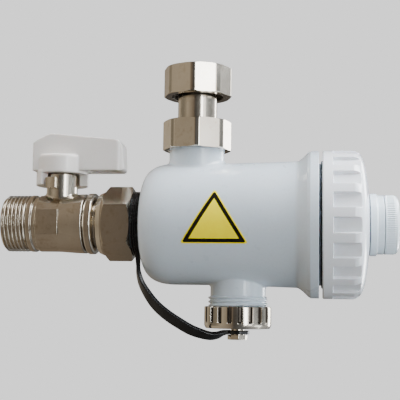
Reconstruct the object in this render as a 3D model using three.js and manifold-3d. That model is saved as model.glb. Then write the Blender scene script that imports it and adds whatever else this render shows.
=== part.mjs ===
// Magnetic system filter for a heating circuit.
// The housing hangs under a boiler from the union nut on its top neck. A ball valve is joined to its left neck,
// a capped drain points down, and the ribbed lid on the right carries the strainer and the magnet stack.
// Millimetres, +Z up, +X from the valve to the lid. The origin is the centre of the boiler gasket's upper face.

import * as THREE from 'three';
import { mergeVertices } from 'three/addons/utils/BufferGeometryUtils.js';
import Module from 'manifold-3d';

// ---- Driving dimensions ------------------------------------------------------------------------------------

const GAP = 0.3; // clearance between touching pieces
const MALE_R = 12.9; // outside of the housing's own G 3/4 threads
const FEMALE_R = MALE_R + GAP; // inside of every nut and of the drain cap
const VALVE_THREAD_R = 13.2; // outside of the valve's free G 3/4 thread
const SPANNER_FLATS = 30; // across flats of all three nuts
const NUT_BAR_R = 15.85; // the octagonal nuts' corners keep the round of their bar
const PORT_R = 8.8; // bore of the housing's three necks
const WATERWAY_R = 7.2; // bore of the nipple and of the valve

const SEAL_PLANE_Z = 67; // boiler gasket's upper face, above the body's axis

const BODY_R = 27.9;
const BODY_LEFT = -24;
const DOME_LENGTH = 17;
const DOME_FLAT_R = 14;
const DOME_FULLNESS = 0.69; // 1 would make the shoulder an ellipse
const FLANGE_R = 33.3;
const FLANGE_LEFT = 53;
const FLANGE_RIGHT = 56.9;
const MOUTH_R = 28.9;
const MOUTH_ROOT_R = 27.6;
const MOUTH_END = 70.6;
const CHAMBER_R = 24.3;
const CHAMBER_LEFT = -18.5;
const LEFT_NECK_END = -38.5;
const TOP_NECK_END = 39.3;
const TOP_NECK_R = 12.7;

const DRAIN_X = 19.7;
const DRAIN_NECK_R = 12.5;
const DRAIN_NECK_END = -43;

const LID_R = 33.5;
const LID_LEFT = 57.8;
const LID_FACE = 78.5;
const LID_INSIDE = 75;
const LID_GROOVES = 19;
const LID_GROOVE_WIDTH = 6.4;
const LID_GROOVE_FLOOR_R = 31.9;
const LID_GROOVE_LEFT = 62.4;

const POCKET_R = 12;
const POCKET_BORE_R = 10.8;
const POCKET_LEFT = 4;
const POCKET_WALL = 1.4;
const COLLAR_R = 14.1;
const COLLAR_RIGHT = 82;
const POCKET_RIGHT = 84.9;

const KNOB_R = 13.3;
const KNOB_RIGHT = 91.3;
const SPIGOT_R = 10.4;
const SPIGOT_LEFT = 67;

const ROD_R = 2;
const ROD_HEAD_R = 4.5;
const ROD_HEAD_LEFT = POCKET_LEFT + POCKET_WALL + GAP;
const ROD_HEAD_LENGTH = 2;
const ROD_END = 79.9;
const MAGNET_R = 10.3;
const MAGNET_LENGTH = 13;
const MAGNET_COUNT = 4;
const POLE_DISC_LENGTH = 1.6;

const SCREEN_R = 17.4;
const SCREEN_WALL = 0.6;
const CAGE_LEFT = -18.2;
const CAGE_RIGHT = LID_INSIDE - GAP;
const CAGE_BARS = 4;
const CAGE_BAR_WIDTH = 3;
const CAGE_BAR_OUTER_R = 19.4;

const STEM_X = -63.9;
const VALVE_LEFT = -89.5;
const VALVE_BODY_RIGHT = -50.9;
const VALVE_BODY_R = 13.2;
const BALL_R = 10.5;
const BALL_BORE_R = 7;
const BALL_CHAMBER_R = BALL_R + 0.2;
const SEAT_LENGTH = 4.6;
const SEAT_OUTER = 10.6; // from the ball's centre to a seat's far face
const BONNET_R = 7.2;
const BONNET_TOP = 23;
const STEM_R = 3.2;
const STEM_TOP = 31;
const PACKING_R = 4.9;

const LEVER_BOTTOM = 23.2;
const LEVER_WIDTH = 14.2;
const HUB_R = 12.1;
const HUB_TOP = 31.9;
const SKIRT_BOTTOM = 17.6;
const SKIRT_INNER_R = 8.2;
const SKIRT_END_DEG = 232;
const LUG_START_DEG = 238;
const LUG_END_DEG = 266;
const LUG_R = 10.9;

const NUT_HEIGHT = 13.4;
const LIP_HOLE_R = 9.5;
const LIP_BOTTOM = 2.5;
const LIP_TOP = 3.8;
const LOWER_NUT_BOTTOM = 34.1;
const BOILER_NUT_BOTTOM = 59.4;
const NIPPLE_R = 9.1;
const NIPPLE_FLANGE_R = 12.8;
const GASKET_R = 12.6;
const UNION_HEX_LEFT = -41.6;
const UNION_HEX_RIGHT = -28.7;

const CAP_R = 15.2;
const CAP_TOP = -38;
const CAP_BOTTOM = -47.2;
const CAP_FLOOR_TOP = -45.3;
const CAP_FLUTES = 18;
const CAP_FLUTE_BOTTOM = -44.4;
const STUD_NECK_R = 3;
const STUD_HEAD_R = 4.6;
const STUD_HEAD_TOP = -50.1;
const STUD_BOTTOM = -52.3;

const STRAP_WIDTH = 5;
const STRAP_THICKNESS = 1.9;
const STRAP_LEAN = THREE.MathUtils.degToRad(64);
const STRAP_STEPS = 30;

const COARSE = 16; // sides of small round pieces
const MEDIUM = 24;
const FINE = 32; // sides of the body, the lid and the seal
const NUT_SIDES = 40;

// ---- Geometry helpers --------------------------------------------------------------------------------------

// Solid of revolution about Z from a profile of [radius, height] points.
function lathe(profile, sides) {
  const points = profile.map(([radius, height]) => new THREE.Vector2(radius, height));
  if (THREE.ShapeUtils.area(points) < 0) points.reverse();
  return new THREE.LatheGeometry(points, sides).rotateX(Math.PI / 2);
}

function rod(radius, bottom, top, sides) {
  return lathe([[0, bottom], [radius, bottom], [radius, top], [0, top]], sides);
}

function ring(inner, outer, bottom, top, sides) {
  return lathe([[inner, bottom], [outer, bottom], [outer, top], [inner, top], [inner, bottom]], sides);
}

// Turns a piece built along Z so that it runs along X.
function alongX(geometry) {
  return geometry.rotateY(Math.PI / 2);
}

function box(low, high) {
  const size = high.map((value, axis) => value - low[axis]);
  const centre = high.map((value, axis) => (value + low[axis]) / 2);
  return new THREE.BoxGeometry(...size).translate(...centre);
}

function prism(shape, bottom, top) {
  const settings = { depth: top - bottom, bevelEnabled: false, curveSegments: 6 };
  return new THREE.ExtrudeGeometry(shape, settings).translate(0, 0, bottom);
}

function polygon(count, radius, startDegrees) {
  const corners = [];
  for (let index = 0; index < count; index += 1) {
    const angle = THREE.MathUtils.degToRad(startDegrees + (360 * index) / count);
    corners.push(new THREE.Vector2(radius * Math.cos(angle), radius * Math.sin(angle)));
  }
  return new THREE.Shape(corners);
}

function ringSector(inner, outer, startDegrees, endDegrees) {
  const start = THREE.MathUtils.degToRad(startDegrees);
  const end = THREE.MathUtils.degToRad(endDegrees);
  const shape = new THREE.Shape();
  shape.absarc(0, 0, outer, start, end, false);
  shape.absarc(0, 0, inner, end, start, true);
  return shape;
}

// ---- Joining and cutting -----------------------------------------------------------------------------------

const wasm = await Module();
wasm.setup();

function toSolid(geometry) {
  const bare = geometry.clone();
  bare.deleteAttribute('normal');
  bare.deleteAttribute('uv');
  const merged = mergeVertices(bare);
  const index = merged.index.array;
  const triangles = [];
  for (let corner = 0; corner < index.length; corner += 3) {
    const [a, b, c] = [index[corner], index[corner + 1], index[corner + 2]];
    if (a !== b && b !== c && c !== a) triangles.push(a, b, c);
  }
  const vertProperties = new Float32Array(merged.attributes.position.array);
  return new wasm.Manifold(new wasm.Mesh({ numProp: 3, vertProperties, triVerts: new Uint32Array(triangles) }));
}

function toGeometry(solid) {
  const mesh = solid.getMesh();
  const geometry = new THREE.BufferGeometry();
  geometry.setAttribute('position', new THREE.BufferAttribute(mesh.vertProperties, 3));
  geometry.setIndex(new THREE.BufferAttribute(mesh.triVerts, 1));
  return geometry;
}

function join(...geometries) {
  return toGeometry(geometries.map(toSolid).reduce((whole, next) => whole.add(next)));
}

function cut(geometry, ...tools) {
  return toGeometry(tools.map(toSolid).reduce((whole, tool) => whole.subtract(tool), toSolid(geometry)));
}

function common(first, second) {
  return toGeometry(toSolid(first).intersect(toSolid(second)));
}

// ---- Materials and placing ---------------------------------------------------------------------------------

const FINISHES = {
  whitePlastic: { color: 0xe4e8ea, roughness: 0.42, metalness: 0 },
  leverPlastic: { color: 0xe6e5e2, roughness: 0.45, metalness: 0 },
  nickel: { color: 0xc6c2bb, roughness: 0.28, metalness: 1 },
  rubber: { color: 0x141414, roughness: 0.7, metalness: 0 },
  fibre: { color: 0x2f3b35, roughness: 0.85, metalness: 0 },
  sticker: { color: 0xf7e400, roughness: 0.4, metalness: 0 },
  stainless: { color: 0xb9bcbe, roughness: 0.35, metalness: 1 },
  magnet: { color: 0xa7abb0, roughness: 0.25, metalness: 1 },
  seatPlastic: { color: 0xf4f3ee, roughness: 0.5, metalness: 0 },
};

function piece(name, geometry, finish) {
  const mesh = new THREE.Mesh(geometry, new THREE.MeshStandardMaterial(FINISHES[finish]));
  mesh.name = name;
  return mesh;
}

function groupAt(x, ...children) {
  const group = new THREE.Group();
  group.position.x = x;
  group.add(...children);
  return group;
}

// ---- Housing -----------------------------------------------------------------------------------------------

function domeProfile(steps) {
  const points = [];
  for (let step = 0; step <= steps; step += 1) {
    const angle = (Math.PI / 2) * (step / steps);
    const radius = DOME_FLAT_R + (BODY_R - DOME_FLAT_R) * Math.sin(angle) ** DOME_FULLNESS;
    points.push([radius, BODY_LEFT + DOME_LENGTH * (1 - Math.cos(angle) ** DOME_FULLNESS)]);
  }
  return points;
}

function makeHousing() {
  const outside = alongX(lathe([
    [0, LEFT_NECK_END],
    [MALE_R, LEFT_NECK_END],
    [MALE_R, BODY_LEFT],
    ...domeProfile(11),
    [BODY_R, 17],
    [28.5, 40],
    [28.7, 47.4],
    [30.2, 49.5],
    [32.4, 51.8],
    [FLANGE_R, FLANGE_LEFT],
    [FLANGE_R, FLANGE_RIGHT],
    [MOUTH_ROOT_R, FLANGE_RIGHT],
    [MOUTH_ROOT_R, 60],
    [MOUTH_R, 60.7],
    [MOUTH_R, MOUTH_END - 0.7],
    [28.2, MOUTH_END],
    [0, MOUTH_END],
  ], FINE));
  const topNeck = lathe([
    [0, 20],
    [TOP_NECK_R, 20],
    [TOP_NECK_R, 34],
    [MALE_R, 34.4],
    [MALE_R, TOP_NECK_END],
    [0, TOP_NECK_END],
  ], MEDIUM);
  const drainNeck = lathe([
    [0, -20],
    [DRAIN_NECK_R, -20],
    [DRAIN_NECK_R, -33.4],
    [13.1, -34],
    [13.1, -34.8],
    [DRAIN_NECK_R, -35.2],
    [MALE_R, -35.8],
    [MALE_R, DRAIN_NECK_END],
    [0, DRAIN_NECK_END],
  ], MEDIUM).translate(DRAIN_X, 0, 0);
  const chamber = alongX(lathe([
    [0, CHAMBER_LEFT],
    [18.5, CHAMBER_LEFT],
    [CHAMBER_R, -12],
    [CHAMBER_R, MOUTH_END + 1],
    [0, MOUTH_END + 1],
  ], FINE));
  const valveBore = alongX(rod(PORT_R, LEFT_NECK_END - 1, CHAMBER_LEFT + 1, COARSE));
  const boilerBore = rod(PORT_R, 15, TOP_NECK_END + 1, COARSE);
  const drainBore = rod(PORT_R, DRAIN_NECK_END - 1, -15, COARSE).translate(DRAIN_X, 0, 0);
  return cut(join(outside, topNeck, drainNeck), chamber, valveBore, boilerBore, drainBore);
}

// A thin sticker bent round the front of the body.
function makeLabel() {
  const [left, right, bottom, top] = [-3.2, 25.8, -10.4, 13];
  const middle = (left + right) / 2;
  const outline = new THREE.Shape();
  outline.moveTo(left, bottom + 1.2);
  outline.quadraticCurveTo(left - 0.4, bottom, left + 1.4, bottom);
  outline.lineTo(right - 1.4, bottom);
  outline.quadraticCurveTo(right + 0.4, bottom, right, bottom + 1.2);
  outline.lineTo(middle + 0.9, top - 0.8);
  outline.quadraticCurveTo(middle, top + 0.5, middle - 0.9, top - 0.8);
  const triangle = prism(outline, 20, 32).rotateX(Math.PI / 2);
  return common(triangle, alongX(ring(BODY_R + GAP, BODY_R + 2 * GAP, left - 2, right + 2, FINE)));
}

// ---- Union nuts, nipple and gaskets ------------------------------------------------------------------------

// Blank of a nut along Z from 0 to its height, from a bar of the given radius with its end corners turned down.
function nutBlank(corners, height, startDegrees, barR, chamfer) {
  const cornerR = SPANNER_FLATS / 2 / Math.cos(Math.PI / corners);
  const faceR = barR - chamfer / 0.55;
  const turned = lathe([
    [0, 0],
    [faceR, 0],
    [barR, chamfer],
    [barR, height - chamfer],
    [faceR, height],
    [0, height],
  ], NUT_SIDES);
  return common(prism(polygon(corners, cornerR, startDegrees), -1, height + 1), turned);
}

// Octagonal nut with its lip near the bottom; the lip holds the nipple's flange.
function makeTopNut(startDegrees) {
  return cut(
    nutBlank(8, NUT_HEIGHT, startDegrees, NUT_BAR_R, 0.35),
    rod(11.9, -1, LIP_BOTTOM, MEDIUM),
    rod(LIP_HOLE_R, 0, 5, COARSE),
    rod(FEMALE_R, LIP_TOP, NUT_HEIGHT + 1, MEDIUM),
  );
}

// Hexagonal nut with a rounded back that holds the valve's tail flange.
function makeUnionNut() {
  const height = UNION_HEX_RIGHT - UNION_HEX_LEFT;
  const back = lathe([[0, -3.8], [12, -3.8], [13.9, -2.9], [14.8, -0.8], [14.8, 1], [0, 1]], MEDIUM);
  const cornerR = SPANNER_FLATS / 2 / Math.cos(Math.PI / 6);
  const nut = cut(
    join(nutBlank(6, height, 52.7, cornerR, 1.2), back),
    rod(11 + GAP, -6, 2, COARSE),
    rod(FEMALE_R, -0.9, height + 1, MEDIUM),
  );
  return alongX(nut.translate(0, 0, UNION_HEX_LEFT));
}

function makeNipple() {
  return lathe([
    [WATERWAY_R, 42],
    [NIPPLE_FLANGE_R, 42],
    [NIPPLE_FLANGE_R, 43.4],
    [NIPPLE_R, 43.4],
    [NIPPLE_R, 63.5],
    [NIPPLE_FLANGE_R, 63.5],
    [NIPPLE_FLANGE_R, 64.9],
    [WATERWAY_R, 64.9],
    [WATERWAY_R, 42],
  ], MEDIUM);
}

function makeGasket(bottom, top) {
  return ring(8.4, GASKET_R, bottom, top, MEDIUM);
}

function topUnion() {
  const lowerNut = piece('lower_nut', makeTopNut(-7).rotateX(Math.PI), 'nickel');
  lowerNut.position.z = LOWER_NUT_BOTTOM + NUT_HEIGHT;
  const boilerNut = piece('boiler_nut', makeTopNut(-2), 'nickel');
  boilerNut.position.z = BOILER_NUT_BOTTOM;
  return groupAt(
    0,
    lowerNut,
    boilerNut,
    piece('top_nipple', makeNipple(), 'nickel'),
    piece('lower_gasket', makeGasket(TOP_NECK_END + GAP, 41.7), 'fibre'),
    piece('boiler_gasket', makeGasket(65.2, SEAL_PLANE_Z), 'fibre'),
  );
}

// ---- Ball valve --------------------------------------------------------------------------------------------

function makeValveBody() {
  const ballX = STEM_X;
  const barrel = alongX(lathe([
    [WATERWAY_R, VALVE_LEFT],
    [12.2, VALVE_LEFT],
    [VALVE_THREAD_R, VALVE_LEFT + 1.2],
    [VALVE_THREAD_R, -78.4],
    [12.1, -77.9],
    [13.3, -77.3],
    [13.3, -75.9],
    [12.2, -74.6],
    [12.2, -73.6],
    [VALVE_BODY_R, -72.4],
    [VALVE_BODY_R, ballX],
    [13.7, -56],
    [13.7, VALVE_BODY_RIGHT],
    [BALL_CHAMBER_R, VALVE_BODY_RIGHT],
    [BALL_CHAMBER_R, ballX - SEAT_OUTER - GAP],
    [WATERWAY_R, ballX - SEAT_OUTER - GAP],
    [WATERWAY_R, VALVE_LEFT],
  ], MEDIUM));
  const bonnet = lathe([[0, 11.3], [8.2, 11.3], [BONNET_R, 14.2], [BONNET_R, BONNET_TOP], [0, BONNET_TOP]], MEDIUM);
  const lug = prism(ringSector(BONNET_R - 1, LUG_R, LUG_START_DEG, LUG_END_DEG), 16, 20.7);
  const upright = join(bonnet, lug).translate(ballX, 0, 0);
  const stemBore = rod(STEM_R + GAP, 5, BONNET_TOP + 1, COARSE);
  const shoulderBore = rod(4.6, 5, 13.5, COARSE);
  const packingBore = rod(PACKING_R + GAP, 18.5, BONNET_TOP + 1, COARSE);
  const drilled = join(stemBore, shoulderBore, packingBore).translate(ballX, 0, 0);
  const pad = box([-72.2, -13.8, -6], [-62.1, -11.5, 6]);
  return cut(join(barrel, upright, pad), drilled);
}

function makeValveEndPiece() {
  return alongX(lathe([
    [WATERWAY_R, -53],
    [10.4, -53],
    [10.4, -50.6],
    [13.5, -50.6],
    [14.2, -49.8],
    [14.2, -47.7],
    [13.4, -46.7],
    [11, -46.3],
    [11, -42.2],
    [NIPPLE_FLANGE_R, -42.2],
    [NIPPLE_FLANGE_R, -40.6],
    [WATERWAY_R, -40.6],
    [WATERWAY_R, -53],
  ], MEDIUM));
}

function makeBall() {
  const ball = new THREE.SphereGeometry(BALL_R, 24, 14);
  const bore = alongX(rod(BALL_BORE_R, -BALL_R - 1, BALL_R + 1, COARSE));
  const slot = box([-8, -1.7, 7.6], [8, 1.7, BALL_R + 1]);
  return cut(ball, bore, slot);
}

// Seat ring on the ball's right; its inner edge follows the ball.
function makeSeat() {
  const facing = BALL_R + GAP;
  const onBall = (radius) => [radius, Math.sqrt(facing * facing - radius * radius)];
  return alongX(lathe([
    onBall(WATERWAY_R),
    onBall(8.1),
    onBall(9),
    [10.4, SEAT_OUTER - SEAT_LENGTH],
    [10.4, SEAT_OUTER],
    [WATERWAY_R, SEAT_OUTER],
    onBall(WATERWAY_R),
  ], COARSE));
}

function makeStem() {
  const shaft = lathe([
    [0, 11],
    [4.2, 11],
    [4.2, 13.2],
    [STEM_R, 13.2],
    [STEM_R, STEM_TOP],
    [0, STEM_TOP],
  ], COARSE);
  const tang = box([-3.2, -1.4, 7.9], [3.2, 1.4, 12]);
  return cut(join(shaft, tang), rod(1.9, STEM_TOP - 8, STEM_TOP + 1, 12));
}

function makeLever() {
  const [left, right] = [-12.7, 30.3];
  const side = new THREE.Shape();
  side.moveTo(left, LEVER_BOTTOM);
  side.lineTo(right - 3.4, LEVER_BOTTOM);
  side.quadraticCurveTo(right, LEVER_BOTTOM, right, LEVER_BOTTOM + 4);
  side.lineTo(right, 35.2);
  side.quadraticCurveTo(right, 38.8, right - 4.4, 39.2);
  side.lineTo(-3.6, 41.9);
  side.quadraticCurveTo(-8.4, 41.9, left, 38.3);
  const grip = prism(side, -LEVER_WIDTH / 2, LEVER_WIDTH / 2).rotateX(Math.PI / 2);
  const hub = lathe([
    [0, LEVER_BOTTOM],
    [HUB_R, LEVER_BOTTOM],
    [HUB_R, 29.6],
    [11.2, 31.3],
    [9.6, HUB_TOP],
    [0, HUB_TOP],
  ], MEDIUM);
  const skirt = prism(ringSector(SKIRT_INNER_R, HUB_R, 0, SKIRT_END_DEG), SKIRT_BOTTOM, LEVER_BOTTOM + 1);
  return cut(
    join(grip, hub, skirt),
    rod(SKIRT_INNER_R - 0.4, LEVER_BOTTOM - 1, 25.2, MEDIUM),
    rod(STEM_R + GAP, 25, STEM_TOP + GAP, COARSE),
    rod(1.9, STEM_TOP, 35, 12),
    rod(4, 34.3, 45, COARSE),
    box([13, -4.9, LEVER_BOTTOM - 1], [27.2, 4.9, 35.4]),
  );
}

function makeLeverScrew() {
  return lathe([[0, 24.2], [1.6, 24.2], [1.6, 34.6], [3.4, 34.6], [3.4, 36.2], [2.4, 37], [0, 37]], 16);
}

function ballValve() {
  const rightSeat = piece('valve_seat_right', makeSeat(), 'seatPlastic');
  const leftSeat = piece('valve_seat_left', makeSeat(), 'seatPlastic');
  leftSeat.rotation.z = Math.PI;
  const onStem = groupAt(
    STEM_X,
    piece('valve_ball', makeBall(), 'nickel'),
    rightSeat,
    leftSeat,
    piece('valve_stem', makeStem(), 'nickel'),
    piece('stem_packing', ring(STEM_R + GAP, PACKING_R, 18.8, 21, COARSE), 'seatPlastic'),
    piece('gland_nut', ring(STEM_R + GAP, PACKING_R, 21.3, 23.8, COARSE), 'nickel'),
    piece('lever', makeLever(), 'leverPlastic'),
    piece('lever_screw', makeLeverScrew(), 'stainless'),
  );
  return groupAt(
    0,
    onStem,
    piece('valve_body', makeValveBody(), 'nickel'),
    piece('valve_end_piece', makeValveEndPiece(), 'nickel'),
    piece('union_nut', makeUnionNut(), 'nickel'),
    piece('union_gasket', alongX(ring(8.4, GASKET_R, -40.3, LEFT_NECK_END - GAP, MEDIUM)), 'fibre'),
  );
}

// ---- Lid, strainer and magnets -----------------------------------------------------------------------------

function makeLid() {
  const skirtR = MOUTH_R + GAP;
  const blank = alongX(lathe([
    [skirtR, LID_LEFT],
    [LID_R - 0.4, LID_LEFT],
    [LID_R, LID_LEFT + 0.4],
    [LID_R, 71.6],
    [32.7, 73.6],
    [31.2, 75],
    [28.5, 76.2],
    [24, 77.2],
    [18, 78],
    [POCKET_R + GAP, LID_FACE],
    [POCKET_R + GAP, LID_INSIDE],
    [skirtR, LID_INSIDE],
    [skirtR, LID_LEFT],
  ], FINE));
  const grooves = [];
  for (let index = 0; index < LID_GROOVES; index += 1) {
    const halfWidth = LID_GROOVE_WIDTH / 2;
    const groove = box([LID_GROOVE_LEFT, -halfWidth, LID_GROOVE_FLOOR_R], [80, halfWidth, 40]);
    grooves.push(groove.rotateX((Math.PI * 2 * index) / LID_GROOVES));
  }
  return cut(blank, ...grooves);
}

function makePocket() {
  const wallEnd = POCKET_LEFT + POCKET_WALL;
  return alongX(lathe([
    [0, POCKET_LEFT],
    [POCKET_R, POCKET_LEFT],
    [POCKET_R, LID_FACE + GAP],
    [COLLAR_R, LID_FACE + GAP],
    [COLLAR_R, COLLAR_RIGHT - 0.3],
    [KNOB_R, COLLAR_RIGHT],
    [KNOB_R, POCKET_RIGHT],
    [POCKET_BORE_R, POCKET_RIGHT],
    [POCKET_BORE_R, wallEnd],
    [0, wallEnd],
  ], MEDIUM));
}

function makeKnob() {
  const holeR = ROD_R + GAP;
  const holeEnd = ROD_END + GAP;
  return alongX(lathe([
    [0, holeEnd],
    [holeR, holeEnd],
    [holeR, SPIGOT_LEFT],
    [SPIGOT_R, SPIGOT_LEFT],
    [SPIGOT_R, POCKET_RIGHT + GAP],
    [KNOB_R, POCKET_RIGHT + GAP],
    [KNOB_R, 89.2],
    [12.8, 90.6],
    [11.6, KNOB_RIGHT],
    [0, KNOB_RIGHT],
  ], MEDIUM));
}

function makeStrainerFrame() {
  const foot = ring(14.5, CAGE_BAR_OUTER_R - 1.6, CAGE_LEFT, -16, MEDIUM);
  const lowRing = ring(14.5, CAGE_BAR_OUTER_R, -16.4, -13.5, MEDIUM);
  const highRing = ring(16, 22, 68, CAGE_RIGHT, MEDIUM);
  const bars = [];
  for (let index = 0; index < CAGE_BARS; index += 1) {
    const half = CAGE_BAR_WIDTH / 2;
    const bar = box([SCREEN_R + GAP, -half, -15], [CAGE_BAR_OUTER_R - 0.2, half, 70]);
    bars.push(bar.rotateZ(Math.PI / 4 + (Math.PI * 2 * index) / CAGE_BARS));
  }
  return alongX(join(foot, lowRing, highRing, ...bars));
}

// Magnets and pole discs stand one after another on the rod, next to its head.
function magnetStack() {
  const pieces = [];
  let left = ROD_HEAD_LEFT + ROD_HEAD_LENGTH + GAP;
  for (let index = 1; index <= MAGNET_COUNT; index += 1) {
    const magnet = ring(ROD_R + GAP, MAGNET_R, left, left + MAGNET_LENGTH, COARSE);
    pieces.push(piece(`magnet_${index}`, alongX(magnet), 'magnet'));
    left += MAGNET_LENGTH + GAP;
    if (index < MAGNET_COUNT) {
      const disc = ring(ROD_R + GAP, MAGNET_R, left, left + POLE_DISC_LENGTH, COARSE);
      pieces.push(piece(`pole_disc_${index}`, alongX(disc), 'stainless'));
      left += POLE_DISC_LENGTH + GAP;
    }
  }
  return pieces;
}

function lidAssembly() {
  const rodEnd = ROD_HEAD_LEFT + ROD_HEAD_LENGTH;
  const magnetRod = lathe([
    [0, ROD_HEAD_LEFT],
    [ROD_HEAD_R, ROD_HEAD_LEFT],
    [ROD_HEAD_R, rodEnd],
    [ROD_R, rodEnd],
    [ROD_R, ROD_END],
    [0, ROD_END],
  ], 16);
  const screen = ring(SCREEN_R - SCREEN_WALL, SCREEN_R, -13.2, 68 - GAP, MEDIUM);
  const seal = lathe([
    [27.9, 57.3],
    [28.5, 57.2],
    [28.8, 57.8],
    [28.8, 59.2],
    [28.4, 59.6],
    [27.9, 59.4],
    [27.9, 57.3],
  ], FINE);
  return groupAt(
    0,
    piece('lid', makeLid(), 'whitePlastic'),
    piece('lid_seal', alongX(seal), 'rubber'),
    piece('magnet_pocket', makePocket(), 'whitePlastic'),
    piece('knob', makeKnob(), 'whitePlastic'),
    piece('strainer_frame', makeStrainerFrame(), 'seatPlastic'),
    piece('strainer_mesh', alongX(screen), 'stainless'),
    piece('magnet_rod', alongX(magnetRod), 'stainless'),
    ...magnetStack(),
  );
}

// ---- Drain and tether --------------------------------------------------------------------------------------

function makeDrainCap() {
  const shell = lathe([
    [0, CAP_FLOOR_TOP],
    [FEMALE_R, CAP_FLOOR_TOP],
    [FEMALE_R, CAP_TOP],
    [CAP_R - 0.5, CAP_TOP],
    [CAP_R, CAP_TOP - 0.6],
    [CAP_R, CAP_FLUTE_BOTTOM - 0.8],
    [14.3, CAP_BOTTOM],
    [STUD_NECK_R, CAP_BOTTOM],
    [STUD_NECK_R, STUD_HEAD_TOP + 0.6],
    [0, STUD_HEAD_TOP + 0.6],
  ], CAP_FLUTES * 2);
  const neck = rod(STUD_NECK_R, STUD_HEAD_TOP - 0.5, STUD_HEAD_TOP + 1, CAP_FLUTES * 2);
  const head = prism(polygon(8, STUD_HEAD_R, 10), STUD_BOTTOM, STUD_HEAD_TOP);
  const flutes = [];
  for (let index = 0; index < CAP_FLUTES; index += 1) {
    const flute = box([CAP_R - 0.9, -0.9, CAP_FLUTE_BOTTOM], [CAP_R + 2, 0.9, CAP_TOP + 1]);
    flutes.push(flute.rotateZ((Math.PI * 2 * (index + 0.5)) / CAP_FLUTES));
  }
  return cut(join(shell, neck, head), ...flutes);
}

// Bends a straight bar along a route and leans its outer face towards the front in the middle of its length.
function bendStrap(route) {
  const strap = new THREE.BoxGeometry(STRAP_THICKNESS, STRAP_WIDTH, 1, 1, 1, STRAP_STEPS);
  const place = strap.attributes.position;
  const front = new THREE.Vector3(0, -1, 0);
  for (let index = 0; index < place.count; index += 1) {
    const along = place.getZ(index) + 0.5;
    const tangent = route.getTangent(along);
    const inward = front.clone().cross(tangent).normalize();
    const forward = tangent.clone().cross(inward);
    const lean = STRAP_LEAN * Math.sin(Math.PI * along ** 1.35);
    const point = route.getPoint(along);
    const [thick, wide] = [place.getX(index), place.getY(index)];
    point.addScaledVector(inward, thick * Math.cos(lean) + wide * Math.sin(lean));
    point.addScaledVector(forward, wide * Math.cos(lean) - thick * Math.sin(lean));
    place.setXYZ(index, point.x, point.y, point.z);
  }
  return strap;
}

// Rubber strap from a ring on the valve neck to a ring on the cap's stud.
function makeTether() {
  const neckRing = alongX(ring(FEMALE_R, 15, -28.2, BODY_LEFT - GAP, MEDIUM));
  const studRing = ring(STUD_NECK_R + GAP, 5.3, STUD_HEAD_TOP + GAP, -48.2, COARSE).translate(DRAIN_X, 0, 0);
  const route = new THREE.CatmullRomCurve3([
    new THREE.Vector3(-26.1, -5, -12.6),
    new THREE.Vector3(-25.4, -6.8, -19.1),
    new THREE.Vector3(-24.9, -7.6, -23),
    new THREE.Vector3(-23.1, -8.2, -28.1),
    new THREE.Vector3(-19.1, -8.8, -34.2),
    new THREE.Vector3(-15.3, -9, -38.4),
    new THREE.Vector3(-10.5, -8.8, -42.2),
    new THREE.Vector3(-5.9, -8.3, -45.1),
    new THREE.Vector3(-1.2, -7.5, -47.8),
    new THREE.Vector3(3.2, -6.5, -49.5),
    new THREE.Vector3(7.5, -5.2, -50.6),
    new THREE.Vector3(10.6, -4, -50.4),
    new THREE.Vector3(13.2, -2.4, -49.5),
    new THREE.Vector3(DRAIN_X - 4.2, -0.8, -49),
  ]);
  return join(neckRing, studRing, bendStrap(route));
}

function drainAssembly() {
  const gasket = rod(GASKET_R, CAP_FLOOR_TOP + GAP, DRAIN_NECK_END - GAP, MEDIUM);
  return groupAt(
    DRAIN_X,
    piece('drain_cap', makeDrainCap(), 'nickel'),
    piece('drain_gasket', gasket, 'rubber'),
  );
}

// ---- Whole filter ------------------------------------------------------------------------------------------

const filter = groupAt(
  0,
  piece('housing', makeHousing(), 'whitePlastic'),
  piece('label', makeLabel(), 'sticker'),
  topUnion(),
  ballValve(),
  lidAssembly(),
  drainAssembly(),
  piece('tether', makeTether(), 'rubber'),
);
filter.position.z = -SEAL_PLANE_Z;

export default filter;
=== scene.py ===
"""Magnetic system filter: finished pieces, materials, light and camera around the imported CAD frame.

Shapes are given in millimetres from the body's axis, X along it and Z up; build() puts them in the row frame.
"""
import math

import bmesh
import bpy
import numpy as np
from mathutils import Matrix, Vector


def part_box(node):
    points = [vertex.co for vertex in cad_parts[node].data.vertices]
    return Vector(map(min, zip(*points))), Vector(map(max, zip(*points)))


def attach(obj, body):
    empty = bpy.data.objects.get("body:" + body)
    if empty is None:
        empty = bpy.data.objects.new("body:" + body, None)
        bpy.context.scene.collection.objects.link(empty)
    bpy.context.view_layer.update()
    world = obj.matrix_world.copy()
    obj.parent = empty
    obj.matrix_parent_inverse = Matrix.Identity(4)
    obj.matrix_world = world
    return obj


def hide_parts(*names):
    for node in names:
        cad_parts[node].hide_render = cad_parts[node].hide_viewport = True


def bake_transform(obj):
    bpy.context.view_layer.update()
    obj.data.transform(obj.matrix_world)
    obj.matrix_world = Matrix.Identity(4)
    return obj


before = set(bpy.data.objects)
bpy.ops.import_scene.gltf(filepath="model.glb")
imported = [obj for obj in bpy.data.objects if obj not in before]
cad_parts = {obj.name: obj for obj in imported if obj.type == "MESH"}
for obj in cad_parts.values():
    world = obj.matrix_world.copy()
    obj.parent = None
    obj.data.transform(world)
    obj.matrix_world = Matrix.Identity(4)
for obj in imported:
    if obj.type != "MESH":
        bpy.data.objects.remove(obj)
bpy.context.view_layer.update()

MM = 0.001
AXIS_Z = (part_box("lid")[0].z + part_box("lid")[1].z) / 2


def edges(node):
    """Lowest and highest corner of a CAD node, in millimetres from the body's axis."""
    low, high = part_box(node)
    shift = Vector((0, 0, AXIS_Z))
    return (low - shift) / MM, (high - shift) / MM


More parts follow.
